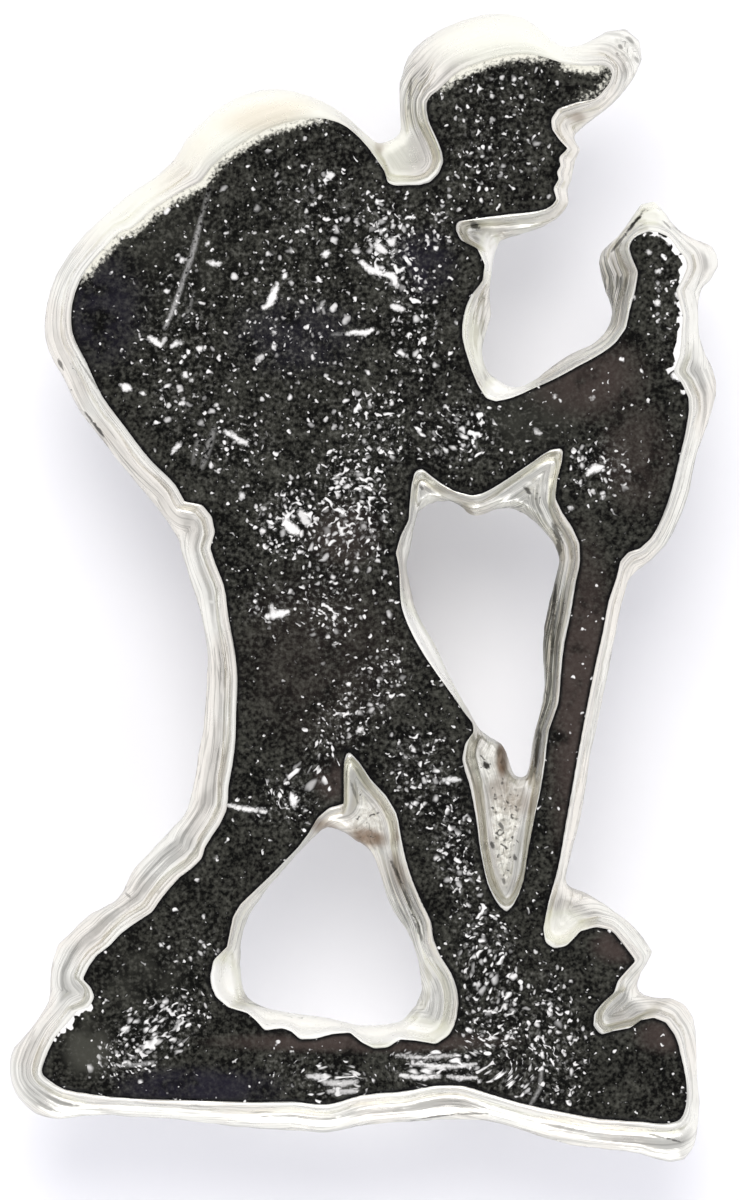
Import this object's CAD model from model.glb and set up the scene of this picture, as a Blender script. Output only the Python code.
"""Pin badge of a hiker: the looks of its cast metal, black lacquer and clutch, and the stage it lies on.

The badge lies face up on its clutch: +Z is the way its face looks and +Y runs from the boots to the cap.
Lengths are in metres. Names that end in _mm, and the places on the sheet, are in millimetres.
"""

import math

import bmesh
import bpy
import numpy as np
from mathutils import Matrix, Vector, kdtree


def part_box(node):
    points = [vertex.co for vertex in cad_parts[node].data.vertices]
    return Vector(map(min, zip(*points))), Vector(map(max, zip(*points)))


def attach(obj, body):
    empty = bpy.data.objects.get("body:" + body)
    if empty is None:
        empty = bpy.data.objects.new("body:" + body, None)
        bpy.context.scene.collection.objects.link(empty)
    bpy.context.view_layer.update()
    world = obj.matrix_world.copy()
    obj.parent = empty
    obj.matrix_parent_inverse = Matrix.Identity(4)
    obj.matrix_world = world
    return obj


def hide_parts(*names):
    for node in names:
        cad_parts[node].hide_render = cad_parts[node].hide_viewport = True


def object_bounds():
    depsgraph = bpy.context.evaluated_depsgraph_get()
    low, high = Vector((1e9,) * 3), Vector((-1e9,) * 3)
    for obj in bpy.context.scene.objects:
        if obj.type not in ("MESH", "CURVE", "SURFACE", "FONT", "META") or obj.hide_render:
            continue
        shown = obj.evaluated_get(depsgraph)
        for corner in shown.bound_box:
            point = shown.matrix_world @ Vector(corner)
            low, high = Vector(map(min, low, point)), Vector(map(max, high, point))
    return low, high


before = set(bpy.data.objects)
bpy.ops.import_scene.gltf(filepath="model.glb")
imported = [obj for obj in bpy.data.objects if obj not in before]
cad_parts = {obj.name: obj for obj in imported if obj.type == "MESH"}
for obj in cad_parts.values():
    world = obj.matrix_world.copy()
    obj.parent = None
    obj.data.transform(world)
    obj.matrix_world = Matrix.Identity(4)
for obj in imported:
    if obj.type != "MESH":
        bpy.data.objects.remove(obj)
cad_low, cad_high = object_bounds()

bl_info = {
    "name": "Hiker Pin Badge",
    "version": (1, 0, 0),
    "blender": (4, 5, 0),
    "location": "3D View > Sidebar > Badge",
    "description": "Models a pierced cast badge, its lacquered face and its clutch around the packed frame",
    "category": "Add Mesh",
}

# Pieces are shaped a thousand times larger, in millimetres, because a voxel can't be finer than a tenth of a
# millimetre at their own size.
MM = 1000.0
# Vertices closer together than this are one
MERGE_MM = 0.0005
# How many steps the weights in a vertex group are rounded to
WEIGHT_STEPS = 40

# The badge is drawn on a sheet, x to the right and y up from its lower left corner. The post stands at this
# place of it, and the outline on it is this high.
SHEET_MM = (18.5, 30.0)
POST_ON_SHEET_MM = (7.8, 14.5)
DRAWN_HEIGHT_MM = 28.86
SHEET_SCALE = (cad_high.y - cad_low.y) * MM / DRAWN_HEIGHT_MM

LACQUER_BOTTOM_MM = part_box("black_face")[0].z * MM
LACQUER_TOP_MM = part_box("black_face")[1].z * MM
METAL_TOP_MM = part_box("cast_body")[1].z * MM
CLUTCH_TOP_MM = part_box("pin_clutch")[1].z * MM
CLUTCH_RADIUS_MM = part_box("pin_clutch")[1].x * MM
PAD_HEIGHT_MM = 0.45
PAD_RADIUS_MM = 1.6
BACK_MM = CLUTCH_TOP_MM + PAD_HEIGHT_MM
# Below this height there are no webs and no creases
WEBS_FROM_MM = BACK_MM + 0.3

# How many times longer a streak on the walls is along the outline than across it
STREAK_STRETCH = 12.0
# How closely the streaks follow each other, as seen from the front and as seen from the side
FRONT_SPACING = 3.0
SIDE_SPACING = 0.7

# The strength of a spot fades between these shares of its half width and half height
SPOT_FADE = (0.35, 1.15)
# The low webs set in between these distances from the outline
WEB_FADE_MM = (0.25, 0.5)
# A mark is only worked out within the first distance of its middle. Elsewhere it counts as the second away.
MARK_REACH_MM = 3.0
MARK_AWAY_MM = 1.0
# How much thinner a mark is at its ends than in its middle
MARK_TAPER = 0.45
# How many half widths away a crease counts as being where there is none
FAR = 50.0

# Colours that only small places have
GLINT = (1.0, 0.99, 0.91)
WHITE_METAL = (0.93, 0.925, 0.87)
PIT_BLACK = (0.03, 0.028, 0.022)
RIM_BLACK = (0.001, 0.001, 0.001)
WORN_NICKEL = (0.68, 0.655, 0.61)
# How much the roughness of each finish varies, and where it starts
METAL_ROUGHNESS = (0.1, 0.24)
LACQUER_ROUGHNESS = (0.14, 0.22)
NICKEL_ROUGHNESS = (0.14, 0.2)
CARD_ROUGHNESS = 0.75
# How strongly the surfaces without metal mirror
LACQUER_GLOSS = 0.09
CARD_GLOSS = 0.2
# Heights of the finest relief, in millimetres: streaks, sand and the grain of the lacquer
STREAK_RELIEF_MM = (0.03, 0.006)
SAND_RELIEF_MM = 0.0016
LACQUER_RELIEF_MM = 0.004
# The middle of a cloudy texture, which runs from 0 to 1
MIDDLE = 0.5

# Where bright flecks show through the lacquer. Columns: name, x and y of the middle on the sheet, half
# width, half height, turn in degrees, and how thick they lie there.
FLECK_FIELDS = (
    ("all over", 8.5, 20.5, 5.5, 8.0, 0, 0.13),
    ("chest", 9.7, 24.0, 1.0, 1.7, 10, 0.72),
    ("chest, low", 10.3, 22.0, 0.8, 1.9, 0, 0.62),
    ("shoulder", 11.2, 24.4, 0.9, 0.9, 0, 0.55),
    ("pack, high", 8.0, 24.8, 1.7, 1.5, 0, 0.34),
    ("pack middle", 7.2, 22.4, 1.8, 2.2, 0, 0.26),
    ("pack side", 4.5, 21.2, 1.4, 2.6, 0, 0.3),
    ("pack bottom", 5.9, 19.0, 1.2, 1.0, 0, 0.4),
    ("elbow", 11.5, 19.2, 1.2, 1.0, 0, 0.85),
    ("waist", 9.4, 19.3, 1.2, 1.4, 0, 0.62),
    ("hip, left", 7.3, 16.9, 1.1, 1.1, 0, 0.95),
    ("hip, right", 8.8, 17.3, 1.2, 1.9, 0, 0.95),
    ("seat", 8.2, 15.0, 0.9, 1.3, 0, 0.62),
    ("seat, left", 6.8, 14.9, 0.9, 0.7, 0, 0.5),
    ("crotch", 8.9, 12.3, 0.9, 2.4, -38, 0.6),
    ("rear knee", 7.3, 10.1, 1.3, 0.8, 25, 0.6),
    ("front thigh", 10.6, 10.6, 1.1, 1.4, 20, 0.6),
    ("shin", 11.5, 8.6, 0.8, 1.7, 15, 0.75),
    ("front ankle", 12.1, 6.2, 0.9, 1.8, 5, 0.85),
    ("front boot", 12.3, 4.6, 1.1, 1.5, 15, 0.85),
    ("boot instep", 13.8, 4.0, 1.0, 2.2, 10, 0.62),
    ("boot sole", 13.3, 2.9, 1.6, 0.7, -12, 0.6),
    ("under the front boot", 11.1, 3.35, 1.5, 0.55, 4, 1.15),
    ("middle of the ground", 8.4, 2.9, 1.1, 0.45, 0, 1.15),
    ("ground haze", 7.6, 3.3, 1.4, 0.6, 0, 0.3),
    ("rear boot", 3.8, 4.15, 1.9, 0.9, 35, 0.95),
    ("rear shin", 4.8, 6.2, 1.2, 1.1, 0, 0.2),
    ("head", 12.4, 27.0, 1.7, 1.9, 0, 0.32),
    ("nape", 12.0, 25.8, 1.1, 1.0, 0, 0.46),
    ("hand", 15.0, 18.3, 1.1, 0.9, 0, 0.52),
    ("knob edge", 16.6, 22.6, 0.4, 1.8, 0, 0.3),
)
# Where flecks are drawn out in a direction. Columns: name, x, y, half width, half height, direction in
# degrees, and how many times longer they become.
DRAWN_OUT = (
    ("under the front boot", 11.2, 3.3, 2.0, 0.8, 3, 3.2),
    ("middle of the ground", 8.3, 2.9, 1.8, 0.8, 5, 2.6),
    ("rear boot", 3.9, 4.2, 1.6, 1.4, 32, 1.7),
    ("rear knee", 7.6, 10.8, 1.0, 1.6, 52, 2.2),
    ("hip fold", 8.6, 16.2, 1.4, 1.8, 58, 1.3),
    ("toe fold", 12.7, 3.3, 1.2, 1.0, 45, 2.2),
    ("front boot", 12.2, 5.6, 1.2, 1.8, 66, 1.5),
    ("elbow", 11.1, 19.2, 1.2, 1.0, -40, 1.4),
)

# Scratches, chips and dots in the lacquer. Columns: name, points on the sheet, half width, brightness.
MARKS = (
    ("long scratch, top", ((5.24, 25.3), (5.02, 24.5)), 0.06, 0.16),
    ("long scratch", ((5.06, 24.7), (4.8, 23.6), (4.5, 22.8)), 0.06, 0.32),
    ("long scratch, low", ((4.56, 22.9), (4.3, 22.2), (4.12, 21.8)), 0.055, 0.38),
    ("faint scratch", ((4.86, 22.7), (4.6, 21.9)), 0.05, 0.16),
    ("smear", ((5.36, 19.3), (5.05, 18.3)), 0.09, 0.2),
    ("smear, left", ((4.98, 19.1), (4.82, 18.4)), 0.07, 0.16),
    ("chip by the strap", ((5.2, 23.46), (5.35, 23.4), (5.52, 23.42)), 0.055, 0.95),
    ("dot by the strap", ((4.52, 23.52), (4.58, 23.49)), 0.07, 0.9),
    ("dot above it", ((5.18, 23.9), (5.2, 23.94)), 0.06, 0.8),
    ("chip below it", ((6.6, 22.3), (6.74, 22.4), (6.82, 22.6), (6.93, 22.88)), 0.085, 1.0),
    ("dot on the pack", ((7.08, 23.06), (7.14, 23.12)), 0.07, 1.0),
    ("dots down the pack", ((6.84, 21.68), (6.85, 21.7)), 0.07, 0.9),
    ("second dot", ((6.83, 21.33), (6.86, 21.34)), 0.08, 1.0),
    ("third dot", ((6.42, 20.98), (6.56, 21.12)), 0.06, 0.7),
    ("buckle, left", ((3.74, 21.56), (3.88, 21.46), (4.04, 21.38)), 0.07, 1.0),
    ("buckle, left hook", ((4.06, 21.4), (4.12, 21.56)), 0.04, 0.7),
    ("buckle, right", ((4.3, 21.34), (4.42, 21.43), (4.56, 21.44)), 0.05, 0.95),
    ("buckle dot", ((4.97, 21.3), (5.04, 21.28)), 0.07, 0.9),
    ("side chip", ((3.06, 20.36), (3.14, 20.31), (3.26, 20.28)), 0.08, 1.0),
    ("side dot", ((3.56, 20.18), (3.6, 20.17)), 0.06, 1.0),
    ("dot cluster", ((4.58, 20.64), (4.66, 20.6)), 0.08, 0.9),
    ("dot cluster, right", ((4.78, 20.5), (4.8, 20.52)), 0.06, 0.8),
    ("dot cluster, left", ((4.46, 20.26), (4.54, 20.25)), 0.06, 0.7),
    ("dot cluster, low", ((4.56, 19.92), (4.6, 19.92)), 0.07, 0.9),
    ("dot beside it", ((5.4, 19.86), (5.42, 19.88)), 0.06, 0.9),
    ("lower chip", ((5.62, 19.2), (5.8, 19.14), (5.96, 19.0)), 0.06, 0.95),
    ("lower chip, right", ((5.98, 18.98), (6.16, 18.92)), 0.07, 0.9),
    ("lower stroke", ((4.3, 18.68), (4.5, 18.92)), 0.04, 1.0),
    ("low dot", ((6.02, 17.56), (6.08, 17.64)), 0.06, 0.8),
    ("chest worm", ((9.04, 23.44), (9.28, 23.24), (9.6, 23.16)), 0.07, 1.0),
    ("chest worm, end", ((9.6, 23.16), (9.84, 23.08), (9.92, 22.84)), 0.075, 1.0),
    ("chest dot", ((8.1, 23.62), (8.2, 23.68)), 0.09, 1.0),
    ("shoulder blot", ((9.4, 23.86), (9.62, 23.72)), 0.1, 0.9),
    ("shoulder blot, high", ((9.72, 24.0), (9.84, 23.9)), 0.09, 0.9),
    ("shoulder dot", ((8.2, 25.6), (8.3, 25.62)), 0.09, 0.9),
    ("belly stroke", ((8.68, 21.66), (8.86, 21.7), (9.12, 21.68), (9.32, 21.76)), 0.06, 1.0),
    ("belly tail", ((8.3, 21.64), (8.6, 21.66)), 0.03, 0.3),
    ("belly chip", ((9.8, 22.36), (10.08, 22.26)), 0.07, 0.9),
    ("side stroke", ((7.94, 22.24), (8.1, 22.46)), 0.04, 0.45),
    ("hip blot", ((7.14, 16.94), (7.3, 16.78), (7.44, 16.68)), 0.12, 1.0),
    ("hip blot tail", ((7.5, 17.2), (7.7, 16.9)), 0.09, 0.8),
    ("hip dot", ((6.56, 17.28), (6.6, 17.3)), 0.07, 0.8),
    ("hip dot, low", ((6.56, 16.72), (6.6, 16.74)), 0.07, 0.9),
    ("seat chip", ((6.68, 14.58), (6.84, 14.62), (7.2, 14.7)), 0.08, 1.0),
    ("seat hook", ((6.84, 14.62), (6.78, 14.86)), 0.06, 0.8),
    ("crotch dot", ((8.98, 11.74), (9.04, 11.78)), 0.08, 0.9),
    ("thigh chip", ((7.3, 10.14), (7.36, 9.86)), 0.08, 1.0),
    ("knee stroke", ((11.04, 10.46), (11.26, 10.52), (11.5, 10.5)), 0.05, 0.8),
    ("boot dot", ((5.38, 8.56), (5.42, 8.54)), 0.05, 0.5),
    ("bright row on the boot", ((3.0, 3.36), (3.4, 3.38), (3.9, 3.44)), 0.03, 0.45),
    ("ground streak", ((9.9, 3.62), (10.6, 3.56), (11.4, 3.62)), 0.035, 0.7),
    ("ground streak, middle", ((10.3, 3.42), (11.0, 3.32), (11.9, 3.38)), 0.045, 0.9),
    ("ground streak, low", ((10.0, 3.12), (10.5, 3.06), (11.0, 3.1)), 0.045, 0.9),
    ("ground streak, right", ((11.2, 3.1), (11.5, 3.04), (11.9, 3.06)), 0.04, 0.8),
    ("ground patch", ((8.1, 2.95), (8.5, 2.9), (8.9, 2.96)), 0.07, 0.6),
    ("ground patch, low", ((8.2, 2.72), (8.6, 2.7), (8.95, 2.74)), 0.05, 0.6),
    ("ground patch, left", ((7.7, 3.1), (8.1, 3.06)), 0.06, 0.7),
    ("toe arc", ((13.54, 3.26), (13.5, 2.8), (13.24, 2.34)), 0.035, 0.35),
    ("hand chip", ((14.7, 18.16), (14.84, 18.28), (15.04, 18.32)), 0.09, 1.0),
    ("hand dot", ((14.26, 17.3), (14.3, 17.32)), 0.06, 0.8),
    ("sleeve dot", ((13.84, 20.08), (13.88, 20.1)), 0.05, 0.7),
    ("sleeve dot, right", ((14.78, 20.05), (14.82, 20.06)), 0.05, 0.7),
    ("sleeve stroke", ((13.38, 19.24), (13.5, 19.16)), 0.05, 0.7),
    ("wrist dot", ((15.04, 17.56), (15.1, 17.58)), 0.06, 0.7),
    ("knob dot", ((16.72, 23.94), (16.78, 24.0)), 0.08, 0.95),
    ("knob dot, low", ((16.2, 23.7), (16.24, 23.7)), 0.06, 0.7),
    ("stick dot", ((16.44, 23.2), (16.48, 23.22)), 0.06, 0.8),
    ("stick dot, low", ((16.42, 22.46), (16.46, 22.4)), 0.07, 0.9),
    ("stick dot, left", ((15.84, 22.56), (15.86, 22.58)), 0.06, 0.7),
    ("notch beside the stick", ((17.2, 22.66), (16.96, 22.64)), 0.15, 1.0),
    ("notch at the cuff", ((17.2, 20.66), (16.88, 20.6)), 0.15, 1.0),
)
# The seam of the rear trouser leg, pressed in down to the metal, in the same columns
HEM = (("hem", ((5.68, 9.88), (6.1, 9.78), (6.66, 9.72)), 0.045, 1.0),)

# Brown tarnish in the hollows of the metal. Columns: name, x, y, half width, half height, turn, strength.
TARNISH_SPOTS = (
    ("behind the knee", 12.56, 11.0, 0.2, 0.62, 0, 0.95),
    ("under the knee", 12.5, 10.25, 0.4, 0.4, 0, 0.45),
    ("top of the low web", 12.9, 9.9, 0.45, 0.4, 0, 0.5),
    ("under the crotch, left", 8.1, 9.3, 0.5, 0.24, -20, 0.7),
    ("under the crotch", 9.2, 9.05, 0.6, 0.3, -12, 1.0),
    ("back of the shin", 9.95, 8.2, 0.22, 0.6, 15, 0.45),
    ("neck", 9.5, 26.4, 0.16, 0.26, 0, 0.45),
    ("under the peak", 14.45, 27.1, 0.26, 0.16, 0, 0.5),
    ("throat", 12.4, 24.3, 0.5, 0.26, 0, 0.2),
    ("left wall", 2.5, 19.2, 0.3, 0.5, 30, 0.2),
)
# Warm gloss on the top of the pack, in the same columns
PEACH_SPOTS = (
    ("pack top", 6.6, 27.1, 1.5, 0.45, 12, 0.8),
    ("pack shoulder", 4.6, 26.0, 1.3, 0.5, 40, 0.35),
)
# Where the metal lies smooth and bright, in the same columns. It is cream at a strength of 1 and white at 2.
SMOOTH_SPOTS = (
    ("pack top", 6.3, 27.0, 3.2, 1.3, 12, 1.0),
    ("pack shoulder", 3.2, 25.2, 1.9, 1.2, 45, 0.8),
    ("cap top", 12.8, 29.0, 2.5, 1.1, 0, 1.0),
    ("neck", 9.6, 26.1, 1.0, 1.2, 0, 0.9),
    ("knob", 16.2, 24.9, 0.8, 0.7, 0, 0.9),
    ("sill of the lower opening", 7.9, 4.35, 4.2, 0.55, -4, 2.7),
    ("corner of the lower opening", 5.5, 5.3, 0.6, 0.9, 0, 2.5),
    ("thigh wall", 10.7, 13.4, 0.45, 2.4, 27, 2.7),
    ("beside the rock", 14.1, 6.8, 0.7, 0.5, 0, 1.8),
    ("crook of the arm", 12.7, 20.3, 0.8, 0.45, 15, 2.4),
    ("under the throat", 12.25, 23.7, 0.3, 0.8, 0, 2.0),
    ("chest wall", 11.75, 21.6, 0.35, 1.3, 12, 1.0),
)
# Where the walls are streaked hardest, in the same columns
STREAKED_SPOTS = (
    ("left of the hand", 15.3, 22.8, 0.6, 1.4, 0, 1.0),
    ("back of the cap", 10.4, 27.6, 0.6, 1.4, 0, 0.8),
    ("inner side of the shin", 10.2, 7.4, 0.6, 1.6, 20, 0.9),
    ("left of the stick", 13.7, 13.6, 0.5, 3.8, -5, 1.1),
    ("under the hand", 16.6, 19.6, 0.6, 2.2, 0, 0.5),
    ("left wall", 3.2, 18.2, 2.0, 1.2, -40, 0.5),
    ("ground, low wall", 10.5, 1.9, 7.0, 0.5, 0, 0.3),
    ("right wall", 17.0, 17.4, 0.6, 2.4, -12, 0.5),
    ("back", 5.6, 12.6, 0.5, 3.2, 0, 0.45),
    ("arm crook", 13.2, 17.2, 0.8, 0.8, 0, 0.7),
    ("rear leg", 5.4, 7.4, 0.7, 1.4, -30, 0.5),
)
# The low webs, which are pitted all over, in the same columns
WEB_SPOTS = (
    ("throat", 12.1, 24.15, 1.0, 0.55, 0, 1.2),
    ("left horn", 10.6, 17.8, 0.6, 0.8, 0, 0.5),
    ("right horn", 13.6, 18.0, 0.7, 1.0, 0, 0.6),
    ("crotch", 9.2, 9.9, 1.0, 1.5, 0, 0.8),
    ("knee", 12.2, 10.9, 0.7, 0.9, 0, 0.7),
    ("between shin and stick", 12.7, 8.8, 0.9, 2.1, 0, 1.2),
    ("peak tip", 15.7, 28.8, 0.6, 0.6, 0, 0.5),
    ("rock", 13.95, 7.25, 0.5, 0.6, 0, 0.5),
)
# Dark creases and pits in the metal. Columns: name, points on the sheet, half width, depth of the shade.
CREASES = (
    ("left wall pit", ((1.44, 21.02), (1.54, 20.82)), 0.05, 0.75),
    ("left wall crease", ((2.1, 19.72), (2.3, 19.45)), 0.035, 0.8),
    ("left wall crease, low", ((2.28, 19.48), (2.56, 19.12)), 0.05, 0.9),
    ("left wall line", ((1.9, 21.1), (2.5, 20.2)), 0.03, 0.5),
    ("left wall line, low", ((2.5, 20.2), (3.6, 18.8)), 0.03, 0.5),
    ("left wall dot", ((3.68, 17.52), (3.82, 17.36)), 0.05, 0.8),
    ("shoulder line", ((1.5, 23.4), (2.6, 25.3)), 0.025, 0.35),
    ("rear leg dot", ((3.14, 7.64), (3.24, 7.54)), 0.04, 0.5),
    ("rear leg crease", ((4.6, 8.4), (5.1, 9.1)), 0.04, 0.4),
    ("knob crease", ((15.3, 23.72), (15.68, 24.2)), 0.045, 0.8),
    ("knob crease, high", ((15.64, 24.15), (16.12, 24.76)), 0.05, 1.0),
    ("knob crease, right", ((16.6, 24.5), (16.8, 24.3)), 0.03, 0.5),
    ("ground crease", ((9.7, 1.76), (10.4, 1.94)), 0.03, 0.6),
    ("ground crease, middle", ((10.5, 1.98), (11.3, 2.1)), 0.03, 0.7),
    ("ground crease, right", ((11.4, 2.1), (12.4, 2.14)), 0.03, 0.6),
    ("toe step", ((16.2, 1.62), (16.7, 1.5)), 0.03, 0.7),
    ("toe step, right", ((16.7, 1.5), (17.1, 1.4)), 0.03, 0.7),
    ("throat pit", ((11.82, 24.42), (11.92, 24.34)), 0.09, 0.9),
    ("knee pit", ((12.13, 10.9), (12.2, 10.82)), 0.08, 1.0),
    ("low web pit", ((12.5, 9.4), (12.56, 9.3)), 0.06, 0.8),
    ("low web pit, left", ((12.3, 8.9), (12.34, 8.8)), 0.06, 0.8),
    ("low web pit, right", ((12.86, 8.6), (12.9, 8.5)), 0.06, 0.8),
    ("low web pit, bottom", ((12.6, 8.0), (12.62, 7.9)), 0.05, 0.7),
    ("horn pit", ((13.16, 17.8), (13.24, 17.7)), 0.07, 0.85),
    ("horn pit, left", ((10.5, 17.86), (10.56, 17.8)), 0.05, 0.6),
    ("peak tip, pits", ((15.72, 29.1), (15.84, 28.98)), 0.06, 0.5),
    ("peak tip, low pits", ((15.9, 28.6), (15.98, 28.5)), 0.05, 0.5),
    ("peak tip, left pits", ((15.5, 28.9), (15.56, 28.84)), 0.05, 0.6),
    ("crotch crease", ((8.75, 10.5), (8.95, 9.9)), 0.04, 0.5),
    ("stick wall, high streak", ((13.84, 16.9), (14.0, 16.5), (13.98, 16.1)), 0.09, 0.75),
    ("stick wall streak", ((13.9, 15.5), (13.86, 14.6), (13.8, 13.6)), 0.06, 0.75),
    ("stick wall, low streak", ((13.5, 11.8), (13.4, 10.7)), 0.08, 0.85),
    ("shin wall streak", ((9.75, 8.5), (10.05, 7.9), (10.3, 7.2)), 0.05, 0.75),
    ("shin wall, low streak", ((10.35, 7.0), (10.6, 6.4)), 0.05, 0.65),
    ("cap wall streak", ((10.3, 28.2), (10.2, 27.2)), 0.04, 0.55),
    ("sill line, left", ((6.1, 4.92), (6.9, 4.72), (7.9, 4.6)), 0.025, 0.5),
    ("sill line, right", ((8.2, 4.5), (9.2, 4.52), (10.0, 4.66)), 0.025, 0.4),
)
# Tints of the lacquer, in the columns of the tarnish
MAROON_SPOTS = (
    ("ground top", 9.0, 3.95, 4.0, 0.3, 0, 0.9),
    ("rock top", 15.5, 6.35, 0.8, 0.5, 0, 0.9),
    ("boot toe top", 16.6, 4.1, 0.8, 0.5, 0, 0.8),
    ("stick", 14.6, 12.0, 1.0, 5.0, 0, 0.8),
    ("sleeve", 14.6, 20.6, 1.7, 1.2, 0, 0.7),
    ("hand", 15.9, 18.6, 1.0, 1.6, 0, 0.4),
    ("hips", 8.0, 13.6, 2.4, 2.6, 0, 0.2),
    ("hip", 8.6, 16.6, 1.0, 1.0, 0, 0.4),
    ("cuff", 8.3, 10.5, 0.5, 0.6, 0, 0.7),
)
BLUE_SPOTS = (
    ("pack side", 2.5, 22.3, 1.3, 1.7, 0, 0.55),
    ("chest", 7.4, 21.6, 1.8, 1.1, 0, 0.45),
    ("strap", 10.6, 23.4, 0.9, 1.0, 0, 0.6),
    ("ground", 4.9, 2.8, 2.4, 0.6, 0, 0.8),
)
GREY_SPOTS = (
    ("heel", 2.2, 3.8, 0.75, 0.9, 0, 0.9),
    ("rear boot", 3.6, 5.6, 1.3, 1.1, 0, 0.35),
    ("forearm", 13.4, 19.7, 1.6, 1.0, 20, 0.5),
    ("pack shoulder", 4.5, 23.5, 1.5, 1.5, 0, 0.3),
)


def on_badge_mm(x, y):
    """A place on the sheet as a place on the badge, both in millimetres."""
    return (x - POST_ON_SHEET_MM[0]) * SHEET_SCALE, (y - POST_ON_SHEET_MM[1]) * SHEET_SCALE


class BadgeMetalSettings(bpy.types.PropertyGroup):
    """Sizes and colours of the cast metal."""

    skin: bpy.props.FloatProperty(
        name="Skin", description="Size of the faces that the cast skin is rebuilt in",
        default=0.00006, unit="LENGTH", precision=6)
    triangles: bpy.props.IntProperty(
        name="Triangles", description="Most triangles that the metal keeps", default=188000)
    streak_height: bpy.props.FloatProperty(
        name="Streak Height", description="Height of the streaks that run along the walls",
        default=0.00007, unit="LENGTH", precision=6)
    lump_height: bpy.props.FloatProperty(
        name="Lump Height", description="Height of the soft lumps left by casting",
        default=0.00006, unit="LENGTH", precision=6)
    pit_height: bpy.props.FloatProperty(
        name="Pit Height", description="Depth of the pits in the low webs",
        default=0.00012, unit="LENGTH", precision=6)
    silver: bpy.props.FloatVectorProperty(
        name="Silver", description="Colour of the bright plating", default=(0.85, 0.843, 0.765),
        size=3, subtype="COLOR")
    shade: bpy.props.FloatVectorProperty(
        name="Shade", description="Colour of the plating in creases and streaks", default=(0.17, 0.17, 0.15),
        size=3, subtype="COLOR")
    warmth: bpy.props.FloatVectorProperty(
        name="Warmth", description="Colour of the plating where it has warmed with wear",
        default=(0.8, 0.745, 0.655), size=3, subtype="COLOR")
    tarnish: bpy.props.FloatVectorProperty(
        name="Tarnish", description="Colour of the tarnish in the hollows", default=(0.21, 0.135, 0.08),
        size=3, subtype="COLOR")
    peach: bpy.props.FloatVectorProperty(
        name="Peach", description="Colour of the warm gloss on the pack", default=(0.76, 0.7, 0.56),
        size=3, subtype="COLOR")
    cream: bpy.props.FloatVectorProperty(
        name="Cream", description="Colour of the smooth domes of the pack and the cap",
        default=(0.84, 0.84, 0.73), size=3, subtype="COLOR")


class BadgeLacquerSettings(bpy.types.PropertyGroup):
    """Sizes and colours of the lacquer."""

    skin: bpy.props.FloatProperty(
        name="Skin", description="Size of the faces that the lacquer is rebuilt in",
        default=0.000056, unit="LENGTH", precision=6)
    pebble_height: bpy.props.FloatProperty(
        name="Pebble Height", description="Height of the pebbled relief where the flecks lie thickest",
        default=0.00006, unit="LENGTH", precision=6)
    black: bpy.props.FloatVectorProperty(
        name="Black", description="Colour of the lacquer", default=(0.0015, 0.0015, 0.001),
        size=3, subtype="COLOR")
    haze: bpy.props.FloatVectorProperty(
        name="Haze", description="Colour of the worn, greyer grain of the lacquer",
        default=(0.052, 0.052, 0.042), size=3, subtype="COLOR")
    fleck: bpy.props.FloatVectorProperty(
        name="Fleck", description="Colour of the metal that shows through", default=(0.92, 0.91, 0.88),
        size=3, subtype="COLOR")
    cream: bpy.props.FloatVectorProperty(
        name="Cream", description="Colour of the worn tops, where the lacquer thins out",
        default=(0.7, 0.69, 0.6), size=3, subtype="COLOR")
    maroon: bpy.props.FloatVectorProperty(
        name="Maroon", description="Warm tint of the lacquer", default=(0.052, 0.039, 0.034),
        size=3, subtype="COLOR")
    blue: bpy.props.FloatVectorProperty(
        name="Blue", description="Cool tint of the lacquer", default=(0.014, 0.0125, 0.021),
        size=3, subtype="COLOR")


class BadgeClutchSettings(bpy.types.PropertyGroup):
    """Sizes and colours of the clutch."""

    step: bpy.props.FloatProperty(
        name="Step", description="How far the foot stands out past the barrel", default=0.0006,
        unit="LENGTH", precision=6)
    foot_height: bpy.props.FloatProperty(
        name="Foot Height", description="Height of the foot", default=0.0011, unit="LENGTH", precision=6)
    bore_radius: bpy.props.FloatProperty(
        name="Bore Radius", description="Radius of the hole for the post", default=0.0006, unit="LENGTH",
        precision=6)
    bore_floor: bpy.props.FloatProperty(
        name="Bore Floor", description="Height of the bore's floor", default=0.0005, unit="LENGTH",
        precision=6)
    rounding: bpy.props.FloatProperty(
        name="Rounding", description="Rounding of the rims", default=0.00013, unit="LENGTH", precision=6)
    nickel: bpy.props.FloatVectorProperty(
        name="Nickel", description="Colour of the plating", default=(0.76, 0.73, 0.68), size=3,
        subtype="COLOR")


class BadgeStageSettings(bpy.types.PropertyGroup):
    """The floor, the light and the camera."""

    camera_height: bpy.props.FloatProperty(
        name="Camera Height", description="Distance of the camera above the badge's face", default=0.4,
        unit="LENGTH")
    floor: bpy.props.FloatVectorProperty(
        name="Floor", description="Colour of the floor", default=(0.89, 0.893, 0.917), size=3,
        subtype="COLOR")
    key_power: bpy.props.FloatProperty(
        name="Key Power", description="Power of the soft light above the top of the picture", default=2.0,
        unit="POWER")
    key_size: bpy.props.FloatProperty(
        name="Key Size", description="Width of that light", default=0.36, unit="LENGTH")
    fill_power: bpy.props.FloatProperty(
        name="Fill Power", description="Power of the low light below the foot of the picture", default=1.35,
        unit="POWER")
    fill_size: bpy.props.FloatProperty(
        name="Fill Size", description="Width of that light", default=0.6, unit="LENGTH")


def select_only(piece):
    """Makes a piece the active object and the only one selected."""
    bpy.ops.object.select_all(action="DESELECT")
    piece.select_set(True)
    bpy.context.view_layer.objects.active = piece


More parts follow.
